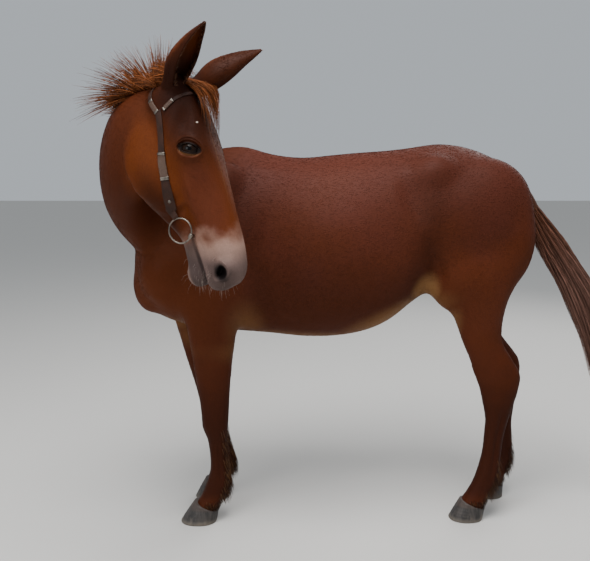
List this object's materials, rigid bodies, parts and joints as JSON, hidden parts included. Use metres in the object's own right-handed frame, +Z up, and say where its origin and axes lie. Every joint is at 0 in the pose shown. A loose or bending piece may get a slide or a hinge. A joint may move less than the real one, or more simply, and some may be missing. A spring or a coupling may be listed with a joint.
{
  "type": "mule",
  "caption": "Life-size standing mule in a headstall with a ring bit, head turned back over its left shoulder.",
  "frame": {"origin": "centre of the bounding box's bottom face, on the floor the hooves stand on", "axes": "+X from the chest towards the tail, +Y towards the mule's right side, +Z up"},
  "size_m": [2.0496, 1.0108, 1.8468],
  "materials": {
    "head": "short hair coat",
    "neck_upper": "short hair coat",
    "neck_lower": "short hair coat",
    "torso": "short hair coat",
    "foreleg_left": "short hair coat",
    "hoof_foreleg_left": "dull grey horn",
    "foreleg_right": "short hair coat",
    "hoof_foreleg_right": "dull grey horn",
    "hindleg_left": "short hair coat",
    "hoof_hindleg_left": "dull grey horn",
    "hindleg_right": "short hair coat",
    "hoof_hindleg_right": "dull grey horn",
    "ear_left": "short hair coat",
    "eye_left": "wet dark brown",
    "ear_right": "short hair coat",
    "eye_right": "wet dark brown",
    "tail": "long hair",
    "ring_left": "worn bright",
    "cheekpiece_left": "oiled leather",
    "wrap_left": "plaited rawhide",
    "keeper_left_1": "worn bright",
    "keeper_left_2": "worn bright",
    "ring_right": "worn bright",
    "cheekpiece_right": "oiled leather",
    "wrap_right": "plaited rawhide",
    "keeper_right_1": "worn bright",
    "keeper_right_2": "worn bright",
    "crownpiece": "oiled leather",
    "browband": "oiled leather",
    "bit": "worn bright"
  },
  "bodies": {
    "root": {"head": "head", "neck_upper": "neck_upper", "neck_lower": "neck_lower", "torso": "torso", "foreleg_left": "foreleg_left", "hoof_foreleg_left": "hoof_foreleg_left", "foreleg_right": "foreleg_right", "hoof_foreleg_right": "hoof_foreleg_right", "hindleg_left": "hindleg_left", "hoof_hindleg_left": "hoof_hindleg_left", "hindleg_right": "hindleg_right", "hoof_hindleg_right": "hoof_hindleg_right", "ear_left": "ear_left", "eye_left": "eye_left", "ear_right": "ear_right", "eye_right": "eye_right", "tail": "tail", "ring_left": "ring_left", "cheekpiece_left": "cheekpiece_left", "wrap_left": "wrap_left", "keeper_left_1": "keeper_left_1", "keeper_left_2": "keeper_left_2", "ring_right": "ring_right", "cheekpiece_right": "cheekpiece_right", "wrap_right": "wrap_right", "keeper_right_1": "keeper_right_1", "keeper_right_2": "keeper_right_2", "crownpiece": "crownpiece", "browband": "browband", "bit": "bit"}
  },
  "joints": []
}
